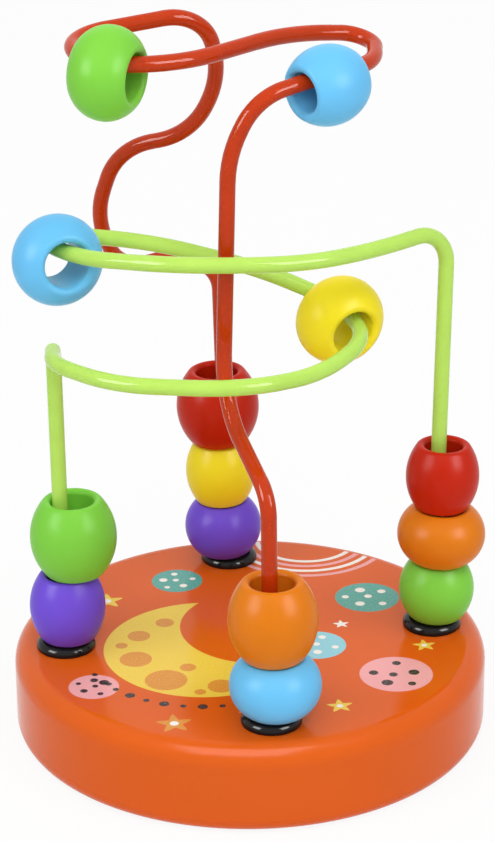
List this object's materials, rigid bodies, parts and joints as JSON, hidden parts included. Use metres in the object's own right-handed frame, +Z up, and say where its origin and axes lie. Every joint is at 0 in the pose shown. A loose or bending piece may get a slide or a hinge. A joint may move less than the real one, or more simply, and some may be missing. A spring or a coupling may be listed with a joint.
{
  "type": "bead maze",
  "caption": "Small wooden bead maze: two bent painted wires stand in a round base and carry loose lacquered beads that slide along them.",
  "frame": {"origin": "centre of the base's underside", "axes": "+Z up, +X towards the lime wire's right foot, -Y towards the red wire's front foot"},
  "size_m": [0.1002, 0.1, 0.1558],
  "materials": {
    "base_orange": "satin lacquer with a printed scatter design",
    "wire_lime": "glossy powder coat",
    "wire_red": "glossy powder coat",
    "collar_black": "glossy moulded",
    "bead_green": "satin lacquer",
    "bead_purple": "satin lacquer",
    "bead_yellow": "satin lacquer",
    "bead_red": "satin lacquer",
    "bead_orange": "satin lacquer",
    "bead_blue": "satin lacquer"
  },
  "bodies": {
    "stand": {"base": "base_orange", "wire_lime": "wire_lime", "wire_red": "wire_red", "collar_left": "collar_black", "collar_right": "collar_black", "collar_front": "collar_black", "collar_back": "collar_black"},
    "left_purple": {"bead_left_purple": "bead_purple"},
    "left_green": {"bead_left_green": "bead_green"},
    "right_green": {"bead_right_green": "bead_green"},
    "right_orange": {"bead_right_orange": "bead_orange"},
    "right_red": {"bead_right_red": "bead_red"},
    "front_blue": {"bead_front_blue": "bead_blue"},
    "front_orange": {"bead_front_orange": "bead_orange"},
    "back_purple": {"bead_back_purple": "bead_purple"},
    "back_yellow": {"bead_back_yellow": "bead_yellow"},
    "back_red": {"bead_back_red": "bead_red"},
    "loop_blue": {"bead_loop_blue": "bead_blue"},
    "loop_yellow": {"bead_loop_yellow": "bead_yellow"},
    "top_green": {"bead_top_green": "bead_green"},
    "top_blue": {"bead_top_blue": "bead_blue"}
  },
  "joints": [
    {"name": "left_purple_slide", "type": "slide", "parent": "stand", "child": "left_purple", "axis": [-0.0073, 0, 1], "range_m": [0, 0.012]},
    {"name": "left_green_slide", "type": "slide", "parent": "left_purple", "child": "left_green", "axis": [-0.0073, 0, 1], "range_m": [0, 0.018]},
    {"name": "right_green_slide", "type": "slide", "parent": "stand", "child": "right_green", "axis": [0.0192, 0, 0.9998], "range_m": [0, 0.012]},
    {"name": "right_orange_slide", "type": "slide", "parent": "right_green", "child": "right_orange", "axis": [0.0192, 0, 0.9998], "range_m": [0, 0.012]},
    {"name": "right_red_slide", "type": "slide", "parent": "right_orange", "child": "right_red", "axis": [0.0192, 0, 0.9998], "range_m": [0, 0.014]},
    {"name": "front_blue_slide", "type": "slide", "parent": "stand", "child": "front_blue", "axis": [-0.0063, 0.0094, 0.9999], "range_m": [0, 0.006]},
    {"name": "front_orange_slide", "type": "slide", "parent": "front_blue", "child": "front_orange", "axis": [-0.0063, 0.0094, 0.9999], "range_m": [0, 0.009]},
    {"name": "back_purple_slide", "type": "slide", "parent": "stand", "child": "back_purple", "axis": [-0.0236, -0.0071, 0.9997], "range_m": [0, 0.006]},
    {"name": "back_yellow_slide", "type": "slide", "parent": "back_purple", "child": "back_yellow", "axis": [-0.0236, -0.0071, 0.9997], "range_m": [0, 0.006]},
    {"name": "back_red_slide", "type": "slide", "parent": "back_yellow", "child": "back_red", "axis": [-0.0236, -0.0071, 0.9997], "range_m": [0, 0.008]},
    {"name": "loop_blue_slide_round_bend", "type": "hinge", "parent": "stand", "child": "loop_blue", "pos_m": [-0.0049, 0.02045, 0.11561], "axis": [-0.1961, -0.081, 0.9772], "range_deg": [0, 38]},
    {"name": "loop_yellow_slide_round_bend", "type": "hinge", "parent": "stand", "child": "loop_yellow", "pos_m": [0.00715, -0.00534, 0.08777], "axis": [-0.1183, -0.0842, 0.9894], "range_deg": [-70, 8]},
    {"name": "top_green_slide_round_bend", "type": "hinge", "parent": "stand", "child": "top_green", "pos_m": [-0.02483, -0.00342, 0.1489], "axis": [0.0615, -0.0438, 0.9971], "range_deg": [-4, 37]},
    {"name": "top_blue_slide_round_bend", "type": "hinge", "parent": "stand", "child": "top_blue", "pos_m": [0.00435, 0.01421, 0.12564], "axis": [-0.3346, 0.4837, 0.8087], "range_deg": [-7, 7]}
  ]
}
